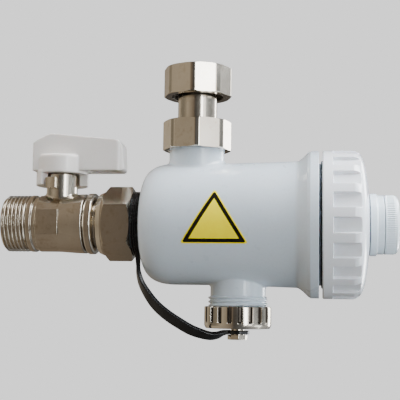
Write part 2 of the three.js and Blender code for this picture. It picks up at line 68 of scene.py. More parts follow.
# ---- Dimensions, in millimetres ----
HOUSING_LOW, HOUSING_HIGH = edges("housing")
BODY_R = 27.9
BODY_LEFT = -24.0
DOME_LENGTH = 17.0
DOME_FLAT_R = 14.0
DOME_FULLNESS = 0.69  # 1 would make the shoulder an ellipse
FLANGE_R = HOUSING_HIGH.y
FLANGE_RIGHT = 56.3
NECK_R = 12.9
PORT_R = 8.8
THREAD_PITCH = 1.814  # 14 threads to the inch
THREAD_DEPTH = 1.05
SHALLOW_DEPTH = 0.85  # thread depth on the drain and in the nuts
FEMALE_R = 13.3  # the nuts' inside thread at its roots
WATERWAY_R = 7.2  # bore of the nipple and of the valve's ends
MOUTH_R = 28.9
MOUTH_ROOT_R = 27.6
LID_LOW, LID_HIGH = edges("lid")
LID_R = 33.5
LID_FEMALE_R = 29.2
LID_GROOVES = 19
LID_GROOVE_HALF = 3.2
LID_GROOVE_FLOOR = 31.9
LID_GROOVE_LEFT = LID_LOW.x + 4.6
LID_GROOVE_R = 33.0  # radius that the grooves' width is measured at
LID_THREAD_PITCH = 3.0
FLATS = 15.0  # half the width of a nut across its flats
BAR_R = 15.85
CHAMFER_SLOPE = 0.55
LIP_HOLE_R = 9.5
WASHER_R = 12.6
STEM_X = (edges("valve_stem")[0].x + edges("valve_stem")[1].x) / 2
STEM = (STEM_X, 0, 0)
DRAIN_X = (edges("drain_cap")[0].x + edges("drain_cap")[1].x) / 2
CAP_FLUTES = 20
CAP_R = 15.2
KNOB_RIBS = 86
KNOB_R = 13.3
MAGNET_R = 10.3
MAGNET_HOLE_R = 2.3
BALL_R = 10.5
GLAND_R = 4.9
STEM_HOLE_R = 3.5
LABEL_INSETS = [0, 0.45, 0.5, 1.3, 2.15, 2.2, 2.6, 3.2, 4, 5, 6, 6.7]  # the film's rings, edge first
LABEL_BAND = (0.5, 2.15)  # the film is dark between these insets
LABEL_LIFTS = (0.05, 0.18)  # the film's back and front over the body

# ---- Camera ----
CAMERA_AZIMUTH = math.radians(7.35)
CAMERA_ELEVATION = math.radians(-6.14)
CAMERA_ROLL = math.radians(0.8)
CAMERA_DEPTH = 0.431
CAMERA_OFFSET = (-0.00185, -0.0112)
SENSOR = 36.0
LENS = 84.1


# ---- Mesh building ----
def build(name, points, faces):
    mesh = bpy.data.meshes.new(name)
    place = np.asarray(points, float) * MM + (0, 0, AXIS_Z)
    mesh.from_pydata(place.tolist(), [], faces)
    obj = bpy.data.objects.new(name, mesh)
    bpy.context.scene.collection.objects.link(obj)
    clean = bmesh.new()
    clean.from_mesh(mesh)
    bmesh.ops.remove_doubles(clean, verts=clean.verts, dist=1e-7)
    bmesh.ops.recalc_face_normals(clean, faces=clean.faces)
    clean.to_mesh(mesh)
    clean.free()
    return obj


def grid_faces(rows, columns, closed):
    """Quads of a grid that is closed round its rows, and also along its columns if closed is true."""
    faces = []
    for row in range(rows):
        here, there = row * columns, (row + 1) % rows * columns
        for column in range(columns if closed else columns - 1):
            following = (column + 1) % columns
            faces.append((here + column, there + column, there + following, here + following))
    return faces


def even(count):
    return np.arange(count) * 2 * math.pi / count


def turned(name, profile, axis="X", centre=(0, 0, 0), angles=even(160), shape=None):
    """Piece turned from [radius, height] points, which make a loop or run from the axis back to it."""
    profile = np.array(profile, float)
    closed = profile[0, 0] > 0
    radius = np.tile(profile[:, 0], (len(angles), 1))
    height = np.tile(profile[:, 1], (len(angles), 1))
    theta = np.repeat(angles[:, None], len(profile), axis=1)
    if shape:
        radius, height = shape(theta, radius, height)
    side, across = radius * np.cos(theta), radius * np.sin(theta)
    if axis == "X":
        points = np.stack([height, across, -side], axis=2)
    else:
        points = np.stack([side, across, height], axis=2)
    return build(name, points.reshape(-1, 3) + centre, grid_faces(len(angles), len(profile), closed))


def rounded(profile, radius=0.3, steps=4):
    """The profile with each real corner rounded; a third number in a point is its own radius."""
    corners = [tuple(point) + (radius,) * (3 - len(point)) for point in profile]
    loop = corners[0][0] > 0
    result = []
    for index, (r, h, fillet) in enumerate(corners):
        here = np.array([r, h])
        if not loop and index in (0, len(corners) - 1):
            result.append((r, h))
            continue
        before = np.array(corners[index - 1][:2]) - here
        after = np.array(corners[(index + 1) % len(corners)][:2]) - here
        lengths = np.linalg.norm(before), np.linalg.norm(after)
        before, after = before / lengths[0], after / lengths[1]
        bend = math.acos(np.clip(-before @ after, -1, 1))
        if bend < math.radians(12) or fillet <= 0:
            result.append((r, h))
            continue
        cut = min(fillet * math.tan(bend / 2), 0.42 * min(lengths))
        support = 1.12 * cut
        result.append(tuple(here + before * support))
        for step in range(steps + 1):
            t = step / steps
            result.append(tuple(here + before * cut * (1 - t) ** 2 + after * cut * t**2))
        result.append(tuple(here + after * support))
    return result


def run(radius, start, end, count):
    """Points along one straight run of a profile, close enough together to carry a thread."""
    return [(radius, height, 0) for height in np.linspace(start, end, count)]


def at(radius, value):
    """True where a profile's radius is the value."""
    return np.abs(radius - value) < 1e-6


def threaded(start, end, pitch, depth, outside=True, beyond=0.0):
    """Shape function that cuts a helical thread between two heights, into or out of the radius there."""
    def shape(theta, radius, height):
        phase = height / pitch - theta / (2 * math.pi)
        wave = np.clip(0.5 - 0.62 * np.cos(2 * math.pi * phase), 0, 1)
        fade = np.clip((height - start) / (0.7 * pitch), 0, 1) * np.clip((end - height) / (0.7 * pitch), 0, 1)
        near = (height > start) & (height < end) & (radius > beyond)
        change = np.where(near, depth * wave * fade, 0)
        return (radius - change if outside else radius + change), height
    return shape


def apply_modifiers(obj):
    bpy.context.view_layer.update()
    evaluated = obj.evaluated_get(bpy.context.evaluated_depsgraph_get())
    mesh = bpy.data.meshes.new_from_object(evaluated)
    old = obj.data
    obj.modifiers.clear()
    obj.data = mesh
    bpy.data.meshes.remove(old)


def boolean(obj, operation, *tools):
    for tool in tools:
        modifier = obj.modifiers.new("boolean", "BOOLEAN")
        modifier.operation = operation
        modifier.solver = "MANIFOLD"
        modifier.object = tool
        apply_modifiers(obj)
        mesh = tool.data
        bpy.data.objects.remove(tool)
        bpy.data.meshes.remove(mesh)
    return obj


def bevelled(obj, width, segments=3, angle=30):
    modifier = obj.modifiers.new("bevel", "BEVEL")
    modifier.width = width * MM
    modifier.segments = segments
    modifier.limit_method = "ANGLE"
    modifier.angle_limit = math.radians(angle)
    modifier.harden_normals = False
    apply_modifiers(obj)
    return obj


def moulded(obj, voxel, smoothing):
    """Soft moulded edges: the shape is remeshed finely and smoothed."""
    remesh = obj.modifiers.new("remesh", "REMESH")
    remesh.mode = "VOXEL"
    remesh.voxel_size = voxel * MM
    smooth = obj.modifiers.new("smooth", "SMOOTH")
    smooth.factor = 0.5
    smooth.iterations = smoothing
    apply_modifiers(obj)
    return obj


def block(name, low, high):
    corners = [(x, y, z) for x in (low[0], high[0]) for y in (low[1], high[1]) for z in (low[2], high[2])]
    faces = [(0, 1, 3, 2), (4, 6, 7, 5), (0, 4, 5, 1), (2, 3, 7, 6), (0, 2, 6, 4), (1, 5, 7, 3)]
    return build(name, corners, faces)


def extruded(name, outline, low, high, axis="Y"):
    """Prism of an outline in the XZ plane along Y, or in the XY plane along Z."""
    count = len(outline)
    points = []
    for level in (low, high):
        for a, b in outline:
            points.append((a, level, b) if axis == "Y" else (a, b, level))
    faces = [tuple(range(count)), tuple(range(2 * count - 1, count - 1, -1))]
    faces += [(i, (i + 1) % count, count + (i + 1) % count, count + i) for i in range(count)]
    return build(name, points, faces)


def shade(obj, sharp, flat=False):
    """Smooth shading, but for edges sharper than an angle; flat keeps large faces flat up to their edges."""
    obj.data.polygons.foreach_set("use_smooth", [True] * len(obj.data.polygons))
    obj.data.set_sharp_from_angle(angle=math.radians(sharp))
    if flat:
        obj.modifiers.new("flat", "WEIGHTED_NORMAL").keep_sharp = True
        apply_modifiers(obj)


def finish_piece(obj, material, body, nodes, sharp=32, flat=False):
    shade(obj, sharp, flat)
    if len(obj.data.materials) < 2 or not all(obj.data.materials):
        obj.data.materials.clear()
        obj.data.materials.append(material)
    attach(obj, body)
    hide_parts(*nodes)
    return obj


# ---- Materials ----
def multiplied(tree, first, second):
    mix = tree.nodes.new("ShaderNodeMix")
    mix.data_type = "RGBA"
    mix.blend_type = "MULTIPLY"
    mix.inputs["Factor"].default_value = 1.0
    tree.links.new(first, mix.inputs["A"])
    tree.links.new(second, mix.inputs["B"])
    return mix.outputs["Result"]


class Nodes:
    """Short helper for building one material's node tree."""

    def __init__(self, name, slot):
        self.material = bpy.data.materials.new(name)
        self.material["slot"] = slot
        self.material.use_nodes = True
        self.tree = self.material.node_tree
        self.shader = self.tree.nodes["Principled BSDF"]
        self.coordinates = self.tree.nodes.new("ShaderNodeTexCoord").outputs["Object"]

    def link(self, source, target):
        self.tree.links.new(source, target)

    def add(self, kind, **inputs):
        """New node, each of whose inputs is set to a value or linked from another node's output."""
        node = self.tree.nodes.new("ShaderNode" + kind)
        for key, value in inputs.items():
            socket = node.inputs[key.replace("_", " ")]
            if isinstance(value, bpy.types.NodeSocket):
                self.link(value, socket)
            else:
                socket.default_value = value
        return node

    def noise(self, scale, detail=3.0, roughness=0.5, stretch=(1, 1, 1)):
        mapped = self.add("Mapping", Scale=stretch, Vector=self.coordinates).outputs["Vector"]
        noise = self.add("TexNoise", Scale=scale, Detail=detail, Roughness=roughness, Vector=mapped)
        return noise.outputs["Fac"]

    def ramp(self, source, low, high, start=0.3, end=0.7):
        ramp = self.add("ValToRGB", Fac=source)
        for element, position, colour in zip(ramp.color_ramp.elements, (start, end), (low, high)):
            element.position, element.color = position, (*colour, 1)
        return ramp.outputs["Color"]

    def spread(self, source, low, high, start=0.3, end=0.7):
        remap = self.add("MapRange", Value=source, From_Min=start, From_Max=end, To_Min=low, To_Max=high)
        return remap.outputs["Result"]

    def bumps(self, *layers):
        """Bump layers as (height source, depth in millimetres), one over another."""
        normal = None
        for source, depth in layers:
            bump = self.add("Bump", Strength=1.0, Distance=depth * MM, Height=source)
            if normal:
                self.link(normal, bump.inputs["Normal"])
            normal = bump.outputs["Normal"]
        self.link(normal, self.shader.inputs["Normal"])

    def paint(self, colour, roughness):
        self.link(colour, self.shader.inputs["Base Color"])
        self.link(roughness, self.shader.inputs["Roughness"])

    def set(self, **values):
        for key, value in values.items():
            self.shader.inputs[key.replace("_", " ")].default_value = value


def plastic(name, slot, light, dark, gloss=(0.26, 0.38), grain=0.006):
    nodes = Nodes(name, slot)
    broad = nodes.ramp(nodes.noise(38, 2), dark, light, 0.35, 0.65)
    specks = nodes.ramp(nodes.noise(900, 2), (0.975, 0.975, 0.975), (1, 1, 1), 0.36, 0.5)
    nodes.paint(multiplied(nodes.tree, broad, specks), nodes.spread(nodes.noise(160, 4), *gloss))
    nodes.bumps((nodes.noise(420, 3), grain), (nodes.noise(2600, 2), grain * 0.25))
    nodes.set(Coat_Weight=0.6, Coat_Roughness=0.14, Subsurface_Weight=0.05, Subsurface_Scale=0.004)
    return nodes.material


def nickel(name, lathe=(1, 1, 1), rough=(0.12, 0.22), cast=0.0):
    nodes = Nodes(name, "nickel_brass")
    tone = nodes.ramp(nodes.noise(55, 4, 0.6), (0.62, 0.555, 0.46), (0.71, 0.655, 0.565), 0.3, 0.7)
    stains = nodes.ramp(nodes.noise(260, 5, 0.65), (0.86, 0.83, 0.78), (1, 1, 1), 0.3, 0.46)
    nodes.paint(multiplied(nodes.tree, tone, stains), nodes.spread(nodes.noise(130, 5, 0.6), *rough))
    layers = [(nodes.noise(950, 3, 0.6, lathe), 0.0022)]
    if cast:
        layers.append((nodes.noise(330, 4, 0.55), cast))
    nodes.bumps(*layers)
    nodes.set(Metallic=1.0)
    return nodes.material


def rubber(name, slot, colour, rough=(0.3, 0.5), grain=0.01):
    nodes = Nodes(name, slot)
    dusty = tuple(min(1, value * 1.7 + 0.004) for value in colour)
    tone = nodes.ramp(nodes.noise(210, 5, 0.6), colour, dusty, 0.45, 0.75)
    nodes.paint(tone, nodes.spread(nodes.noise(330, 4), *rough))
    nodes.bumps((nodes.noise(700, 4, 0.6), grain))
    return nodes.material


def film(name, dark, light):
    nodes = Nodes(name, "sticker")
    nodes.paint(nodes.ramp(nodes.noise(300, 4), dark, light), nodes.spread(nodes.noise(240, 3), 0.42, 0.55))
    nodes.bumps((nodes.noise(500, 2), 0.002))
    nodes.set(Specular_IOR_Level=0.05)
    return nodes.material


def steel(name, slot, colour, rough, lathe):
    nodes = Nodes(name, slot)
    worn = tuple(value * 0.86 for value in colour)
    nodes.paint(nodes.ramp(nodes.noise(140, 4), worn, colour), nodes.spread(nodes.noise(200, 4), *rough))
    nodes.bumps((nodes.noise(1200, 2, 0.5, lathe), 0.002))
    nodes.set(Metallic=1.0)
    return nodes.material


RINGS_ON_X = (1, 0.02, 0.02)
RINGS_ON_Z = (0.02, 0.02, 1)
WHITE = plastic("white_plastic", "white_plastic", (0.62, 0.70, 0.775), (0.595, 0.675, 0.745))
# Lid plastic: whiter than the housing's, partly its own colour and partly painted light standing in for the
# stronger light on the lid
LID_WHITE_AND_PAINTED_LIGHT = plastic("lid_plastic", "lid_plastic", (0.87, 0.90, 0.955), (0.84, 0.875, 0.93), (0.18, 0.28))
# Lighter, bluer copy of the lid plastic for the pocket and knob: painted light, as they face up and to the
# right
KNOB_PAINTED_LIGHT = plastic("knob_plastic_painted_light", "lid_plastic", (0.80, 0.90, 0.97), (0.77, 0.87, 0.945), (0.18, 0.28))
LEVER_WHITE = plastic(
    "lever_plastic", "lever_plastic", (0.81, 0.78, 0.75), (0.775, 0.745, 0.715), (0.30, 0.42), 0.01)
SEAT_WHITE = plastic("seat_plastic", "seat_plastic", (0.80, 0.79, 0.76), (0.74, 0.73, 0.70), (0.4, 0.5))
NICKEL_X = nickel("nickel_turned_x", RINGS_ON_X)
NICKEL_Z = nickel("nickel_turned_z", RINGS_ON_Z)
NICKEL_FLAT = nickel("nickel_milled", (1, 1, 1), (0.1, 0.2), 0.002)
# Dark nickel: painted shade for the hollows inside the nuts and the drain cap's flutes
NICKEL_PAINTED_SHADE = steel("nickel_painted_shade", "nickel_brass", (0.16, 0.14, 0.12), (0.35, 0.5), (1, 1, 1))
NICKEL_CAST = nickel("nickel_cast", (1, 1, 1), (0.14, 0.24), 0.005)
RUBBER = rubber("black_rubber", "black_rubber", (0.006, 0.006, 0.007), (0.2, 0.36), 0.006)
FIBRE = rubber("gasket_fibre", "gasket_fibre", (0.03, 0.045, 0.038), (0.7, 0.9), 0.03)
STEEL = steel("stainless", "stainless", (0.6, 0.61, 0.62), (0.24, 0.36), RINGS_ON_X)
PLATING = steel("magnet_plating", "magnet_plating", (0.66, 0.67, 0.69), (0.1, 0.2), RINGS_ON_X)
FILM_YELLOW = film("film_yellow", (0.98, 0.80, 0.0), (1.0, 0.86, 0.002))
FILM_DARK = film("film_dark", (0.006, 0.005, 0.004), (0.012, 0.01, 0.008))


# ---- Housing ----
def dome(steps):
    points = []
    for step in range(steps + 1):
        angle = math.pi / 2 * step / steps
        radius = DOME_FLAT_R + (BODY_R - DOME_FLAT_R) * math.sin(angle) ** DOME_FULLNESS
        points.append((radius, BODY_LEFT + DOME_LENGTH * (1 - max(0, math.cos(angle)) ** DOME_FULLNESS), 0))
    return points


BODY_LINE = dome(40) + [(BODY_R, 4), (BODY_R, 17), (28.5, 40), (28.7, 46.8)]


def body_radius(x):
    return np.interp(x, [point[1] for point in BODY_LINE], [point[0] for point in BODY_LINE])


def neck(name, centre_x, radius, up, fillet, outline, base, shape=None, angles=even(160)):
    """Round neck with a fillet where it meets a round body that lies along X.

    The outline runs from the neck's end on the axis down its side; base gives the body's radius at an x.
    """
    arc_steps = 8
    reach = radius + fillet
    centre_r = base(centre_x + reach * np.cos(angles)) - 0.06 + fillet
    centre_z = np.sqrt(centre_r**2 - (reach * np.sin(angles)) ** 2)
    outward = np.stack([np.cos(angles), np.sin(angles), 0 * angles], axis=1)
    centre = outward * reach + centre_z[:, None] * (0, 0, 1)
    to_neck = -outward
    to_body = -np.stack([0 * angles, centre[:, 1], centre[:, 2]], axis=1) / centre_r[:, None]
    half_turn = np.arccos(np.clip((to_neck * to_body).sum(axis=1), -1, 1))[:, None]
    columns = []
    outline = np.array(outline, float)
    side_r = np.tile(outline[:, 0], (len(angles), 1))
    side_h = np.tile(outline[:, 1], (len(angles), 1))
    if shape:
        side_r, side_h = shape(np.repeat(angles[:, None], len(outline), axis=1), side_r, side_h)
    for index in range(len(outline)):
        columns.append(outward * side_r[:, index, None] + side_h[:, index, None] * (0, 0, 1))
    for step in range(arc_steps + 1):
        t = step / arc_steps
        mixed = (np.sin((1 - t) * half_turn) * to_neck + np.sin(t * half_turn) * to_body) / np.sin(half_turn)
        columns.append(centre + mixed * fillet)
    inside = columns[-1] + to_body * 1.5
    columns += [inside, np.tile((0, 0, inside[:, 2].min() - 1), (len(angles), 1))]
    points = np.stack(columns, axis=1)
    points[..., 0] += centre_x
    if not up:
        points[..., 1:] *= -1
    return build(name, points.reshape(-1, 3), grid_faces(len(angles), points.shape[1], False))


def make_housing():
    mouth = (HOUSING_HIGH.x - 9.9, HOUSING_HIGH.x - 0.7)
    outside = turned("housing_moulded", rounded([
        (0, HOUSING_LOW.x), (NECK_R, HOUSING_LOW.x, 0.5), (NECK_R, BODY_LEFT, 0.2),
        (DOME_FLAT_R, BODY_LEFT, 0.2), *BODY_LINE[1:-1], (28.7, 46.8, 3), (30.4, 49.2, 3), (32.5, 51.3, 1.5),
        (FLANGE_R, FLANGE_RIGHT - 3.7, 0.8), (FLANGE_R, FLANGE_RIGHT, 0.3), (MOUTH_ROOT_R, FLANGE_RIGHT, 0.2),
        (MOUTH_ROOT_R, mouth[0], 0.2), (MOUTH_R, mouth[0] + 0.4, 0.2),
        *run(MOUTH_R, mouth[0] + 0.6, mouth[1], 70),
        (28.0, HOUSING_HIGH.x, 0.2), (0, HOUSING_HIGH.x),
    ]), angles=even(256), shape=threaded(mouth[0], mouth[1], LID_THREAD_PITCH, 1.1, beyond=26))
    top = neck("top_neck", 0, 12.7, True, 2.2, rounded([
        (0, 39.3), (NECK_R, 39.3, 0.4), (NECK_R, 34.6, 0.2), (12.7, 34.2, 0.2), (12.7, 31, 0)]), body_radius)
    drain_end = -HOUSING_LOW.z
    drain = neck("drain_neck", DRAIN_X, 12.5, False, 1.3, rounded([
        (0, drain_end), (12.7, drain_end, 0.4), *run(12.9, drain_end - 0.5, 37.5, 60),
        *run(13.45, 37.3, 33.2, 50), (12.5, 32.9, 0.2), (12.5, 31, 0)]), body_radius,
        shape=threaded(33.0, drain_end, THREAD_PITCH, SHALLOW_DEPTH, beyond=12.6))
    chamber = turned("chamber", rounded([
        (0, -18.5), (18.5, -18.5, 2), (24.3, -12, 3), (24.3, 80, 0), (0, 80)]), angles=even(128))
    bores = [
        turned("bore", [(0, -50), (PORT_R, -50), (PORT_R, -17), (0, -17)], angles=even(64)),
        turned("bore", [(0, 15), (PORT_R, 15), (PORT_R, 50), (0, 50)], "Z", angles=even(64)),
        turned("bore", [(0, -50), (PORT_R, -50), (PORT_R, -15), (0, -15)], "Z", (DRAIN_X, 0, 0), even(64)),
    ]
    boolean(outside, "UNION", top, drain)
    boolean(outside, "DIFFERENCE", chamber, *bores)
    return finish_piece(outside, WHITE, "filter_body", ["housing"], 60)


# ---- Label ----
def inset_triangle(corners, inset, soften, per_side=36, per_corner=7):
    """Outline of a triangle moved inwards, with softened corners, as evenly numbered points."""
    centre = sum(corners) / 3
    inradius = np.linalg.norm(np.cross(corners[1] - corners[0], corners[2] - corners[0])) / sum(
        np.linalg.norm(corners[i] - corners[i - 1]) for i in range(3))
    small = [centre + (corner - centre) * max(0.0, 1 - inset / inradius) for corner in corners]
    points = []
    for index in range(3):
        here, back, ahead = small[index], small[index - 1], small[(index + 1) % 3]
        cut = min(soften, 0.3 * np.linalg.norm(ahead - here))
        enter = here + (back - here) / max(np.linalg.norm(back - here), 1e-9) * cut
        leave = here + (ahead - here) / max(np.linalg.norm(ahead - here), 1e-9) * cut
        for step in range(per_corner):
            t = step / per_corner
            points.append((1 - t) ** 2 * enter + 2 * t * (1 - t) * here + t * t * leave)
        cut_ahead = ahead + (here - ahead) / max(np.linalg.norm(here - ahead), 1e-9) * cut
        for step in range(per_side):
            points.append(leave + (cut_ahead - leave) * step / per_side)
    return points


def label_points(low, high):
    """Points of the film's back, then its front, in rings from the edge inwards, and the count in a ring."""
    corners = [np.array([low.x - 0.3, low.z]), np.array([high.x + 0.3, low.z]),
               np.array([(low.x + high.x) / 2, high.z + 0.6])]
    rings = [inset_triangle(corners, inset, 1.5 * max(0.12, 1 - inset / 2.2)) for inset in LABEL_INSETS]
    points = []
    for lift in LABEL_LIFTS:
        for index, ring in enumerate(rings):
            edge_drop = 0.08 if lift == LABEL_LIFTS[1] and index == 0 else 0
            for x, z in ring:
                radius = body_radius(x) + lift - edge_drop
                points.append((x, -math.sqrt(radius**2 - z**2), z))
    return points, len(rings[0])


def make_label():
    """Thin printed film, bent round the body: yellow, with a plain dark band inside its edge."""
    points, count = label_points(*edges("label"))
    layer = len(LABEL_INSETS) * count
    faces, dark = [], []
    for base in (0, layer):
        for index, inset in enumerate(LABEL_INSETS[:-1]):
            for step in range(count):
                a, b = base + index * count + step, base + index * count + (step + 1) % count
                faces.append((a, b, b + count, a + count))
                dark.append(base > 0 and LABEL_BAND[0] <= inset < LABEL_BAND[1])
        faces.append(tuple(range(base + layer - count, base + layer)))
        dark.append(False)
    for step in range(count):
        faces.append((step, (step + 1) % count, layer + (step + 1) % count, layer + step))
        dark.append(False)
    film = build("label_film", points, faces)
    for material in (FILM_YELLOW, FILM_DARK):
        film.data.materials.append(material)
    film.data.polygons.foreach_set("material_index", [int(value) for value in dark])
    return finish_piece(film, FILM_YELLOW, "filter_body", ["label"])


# ---- Nuts, nipple and gaskets ----
def nut_angles(corners, start, bar, between=10):
    """Angles that hit the middle of each flat and both ends of each corner's round."""
    half = math.pi / corners
    edge = math.acos(min(1.0, FLATS / bar))
    angles = []
    for index in range(corners):
        flat = math.radians(start) + half + 2 * half * index
        angles += list(np.linspace(flat - edge, flat + edge, 2 * between, endpoint=False))
        rest = 2 * (half - edge)
        if rest > 1e-6:
            angles += list(flat + edge + np.linspace(0, rest, 5, endpoint=False))
    return np.array(angles)


def nut_radius(theta, corners, start, bar):
    sector = 2 * math.pi / corners
    offset = np.mod(theta - math.radians(start), sector) - sector / 2
    return np.minimum(FLATS / np.cos(offset), bar)


def nut_shape(corners, start, bar, low, high, face):
    """Flats cut into a turned bar, whose ends are turned down to the face radius with a slope."""
    def shape(theta, radius, height):
        outside = radius > FLATS - 0.9
        flat = nut_radius(theta, corners, start, bar)
        depth = np.maximum(0, flat - face) * CHAMFER_SLOPE
        on_side = at(radius, bar)
        turned_down = np.where(height < (low + high) / 2, height + depth, height - depth)
        return np.where(outside, np.minimum(radius, flat), radius), np.where(on_side, turned_down, height)
    return shape


def paint_shade_inside(obj, centre_x, radius, low=-1000, high=1000):
    """Gives the faces nearer an upright axis than the radius a dark nickel: painted shade in the hollows."""
    obj.data.materials.clear()
    obj.data.materials.append(NICKEL_FLAT)
    obj.data.materials.append(NICKEL_PAINTED_SHADE)
    for face in obj.data.polygons:
        middle = face.center / MM
        near = math.hypot(middle.x - centre_x, middle.y) < radius
        face.material_index = int(near and low < middle.z - AXIS_Z / MM < high)


def make_top_nut(name, start, low, flip, body, node):
    """Octagonal swivel nut; its lip end is at the bottom, or at the top if flipped."""
    height = 13.4
    face = BAR_R - 0.35 / CHAMFER_SLOPE
    profile = rounded([
        (11.9, 0, 0.25), (face, 0, 0), (BAR_R, 0.0001, 0), (BAR_R, height - 0.0001, 0), (face, height, 0),
        (13.35, height, 0.3), *run(FEMALE_R, height - 0.6, 8.0, 50), (13.2, 7.6, 0), (13.2, 3.8, 0.3),
        (LIP_HOLE_R, 3.8, 0.2), (LIP_HOLE_R, 2.5, 0.2), (11.9, 2.5, 0.2)])
    flats = nut_shape(8, start, BAR_R, 0, height, face)
    inside = threaded(7.8, height + 2, THREAD_PITCH, SHALLOW_DEPTH)

    def shape(theta, radius, tall):
        return flats(theta, np.where(at(radius, FEMALE_R), inside(theta, radius, tall)[0], radius), tall)
    nut = turned(name, profile, "Z", (0, 0, 0), nut_angles(8, start, BAR_R), shape)
    if flip:
        nut.data.transform(Matrix.Translation((0, 0, 2 * AXIS_Z)) @ Matrix.Rotation(math.pi, 4, "X"))
    nut.data.transform(Matrix.Translation((0, 0, (low + (height if flip else 0)) * MM)))
    bevelled(nut, 0.14, 2, 20)
    # Painted shade: the nut's inside gets the dark nickel
    paint_shade_inside(nut, 0, 12.4)
    return finish_piece(nut, NICKEL_FLAT, body, [node], 32, True)


def make_union_nut():
    low, high = edges("union_nut")
    hex_left = high.x - 12.9
    bar = FLATS / math.cos(math.pi / 6)
    face = bar - 1.2 / CHAMFER_SLOPE
    start = 3.5
    profile = rounded([
        (11.3, low.x, 0.2), (12, low.x, 0.3), (13.9, low.x + 0.9, 0.6), (14.8, low.x + 3, 0.6),
        (14.8, hex_left - 0.02, 0), (face, hex_left, 0), (bar, hex_left + 0.0001, 0),
        (bar, high.x - 0.0001, 0), (face, high.x, 0), (13.4, high.x, 0.3), (13.2, high.x - 0.5, 0),
        (13.2, hex_left - 0.9, 0.2), (11.3, hex_left - 0.9, 0.2)])
    nut = turned("union_nut_forged", profile, angles=nut_angles(6, start, bar, 14),
                 shape=nut_shape(6, start, bar, hex_left, high.x, face))
    bevelled(nut, 0.2, 3, 20)
    return finish_piece(nut, NICKEL_FLAT, "valve_union", ["union_nut"], 32, True)


def make_nipple():
    low, high = edges("top_nipple")
    pipe = turned("nipple_tube", rounded([
        (WATERWAY_R, low.z, 0.3), (12.8, low.z, 0.2), (12.8, low.z + 1.4, 0.2), (9.1, low.z + 1.4, 0.5),
        (9.1, high.z - 1.4, 0.5), (12.8, high.z - 1.4, 0.2), (12.8, high.z, 0.2),
        (WATERWAY_R, high.z, 0.3)]), "Z")
    return finish_piece(pipe, NICKEL_Z, "filter_body", ["top_nipple"])


def make_ring(name, node, body, material, axis, inner, outer, edge=0.15, count=160):
    """Flat ring, or a disc if the inner radius is 0, as thick as its CAD node along the axis."""
    low, high = edges(node)
    bottom, top = (low.x, high.x) if axis == "X" else (low.z, high.z)
    centre = (0, 0, 0) if axis == "X" else ((low.x + high.x) / 2, 0, 0)
    profile = [(inner, bottom, edge), (outer, bottom, edge), (outer, top, edge), (inner, top, edge)]
    return finish_piece(turned(name, rounded(profile), axis, centre, even(count)), material, body, [node])


def make_washers():
    make_ring("boiler_washer", "boiler_gasket", "filter_body", FIBRE, "Z", 8.4, WASHER_R)
    make_ring("lower_washer", "lower_gasket", "filter_body", FIBRE, "Z", 8.4, WASHER_R)
    make_ring("union_washer", "union_gasket", "filter_body", FIBRE, "X", 8.4, WASHER_R)
    make_ring("drain_washer", "drain_gasket", "drain_seal", RUBBER, "Z", 0, WASHER_R)


# ---- Ball valve ----
def make_valve_body():
    low, high = edges("valve_body")
    left, right = low.x, high.x
    crest = 13.2
    thread_end = left + 11.1
    barrel = turned("valve_barrel", rounded([
        (WATERWAY_R, left, 0.3), (12.1, left, 0.2), *run(crest, left + 0.9, thread_end, 110),
        (12.1, thread_end + 0.5, 0.3), (13.3, thread_end + 1.1, 0.4), (13.3, thread_end + 3.0, 0.3),
        (12.5, thread_end + 3.5, 0.3), (12.5, thread_end + 4.8, 0.3), (13.2, thread_end + 5.4, 0.4),
        (13.2, STEM_X, 3), (13.75, -56, 3), (13.9, right - 0.5, 0.5), (13.2, right, 0.2), (10.7, right, 0),
        (10.7, STEM_X - 10.9, 0), (WATERWAY_R, STEM_X - 10.9, 0)]),
        angles=even(224),
        shape=threaded(left + 0.2, thread_end + 0.4, THREAD_PITCH, THREAD_DEPTH, beyond=crest - 0.01))
    top = high.z
    bonnet = neck("bonnet", STEM_X, 7.2, True, 1.8, rounded([
        (0, top), (7.2, top, 0.3), (7.2, 16.4, 0)]), lambda x: 13.2 + 0 * x, angles=even(96))
    lug = sector("lug", 6.4, 10.9, 240, 268, 16, 20.9)
    lug.data.transform(Matrix.Translation((STEM_X * MM, 0, 0)))
    bevelled(lug, 0.5, 3)
    pad = bevelled(block("pad", (-72.2, -13.7, -5.6), (-62.1, -11.0, 5.6)), 0.12, 2)
    bore = turned("stem_bore", [
        (0, 5), (4.6, 5), (4.6, 13.5), (3.5, 13.5), (3.5, 18.5), (5.2, 18.5), (5.2, 30), (0, 30)],
        "Z", STEM, even(64))
    boolean(barrel, "UNION", bonnet, lug, pad)
    boolean(barrel, "DIFFERENCE", bore)
    return finish_piece(barrel, NICKEL_CAST, "filter_body", ["valve_body"], 80, True)


def sector(name, inner, outer, start, end, low, high, steps=24):
    angles = np.radians(np.linspace(start, end, steps))
    outline = [(outer * math.cos(a), outer * math.sin(a)) for a in angles]
    outline += [(inner * math.cos(a), inner * math.sin(a)) for a in angles[::-1]]
    return extruded(name, outline, low, high, "Z")


def make_end_piece():
    low, high = edges("valve_end_piece")
    left, right = low.x, high.x
    piece = turned("valve_tail", rounded([
        (WATERWAY_R, left, 0.2), (10.4, left, 0.2), (10.4, left + 2.4, 0.1), (13.2, left + 2.4, 0.3),
        (14.2, left + 3.2, 0.6), (14.2, left + 5.8, 0.7), (13.4, left + 6.4, 0.3), (11, left + 6.7, 0.3),
        (11, right - 1.6, 0.2), (12.8, right - 1.6, 0.2), (12.8, right, 0.2),
        (WATERWAY_R, right, 0.3)]))
    return finish_piece(piece, NICKEL_X, "filter_body", ["valve_end_piece"])


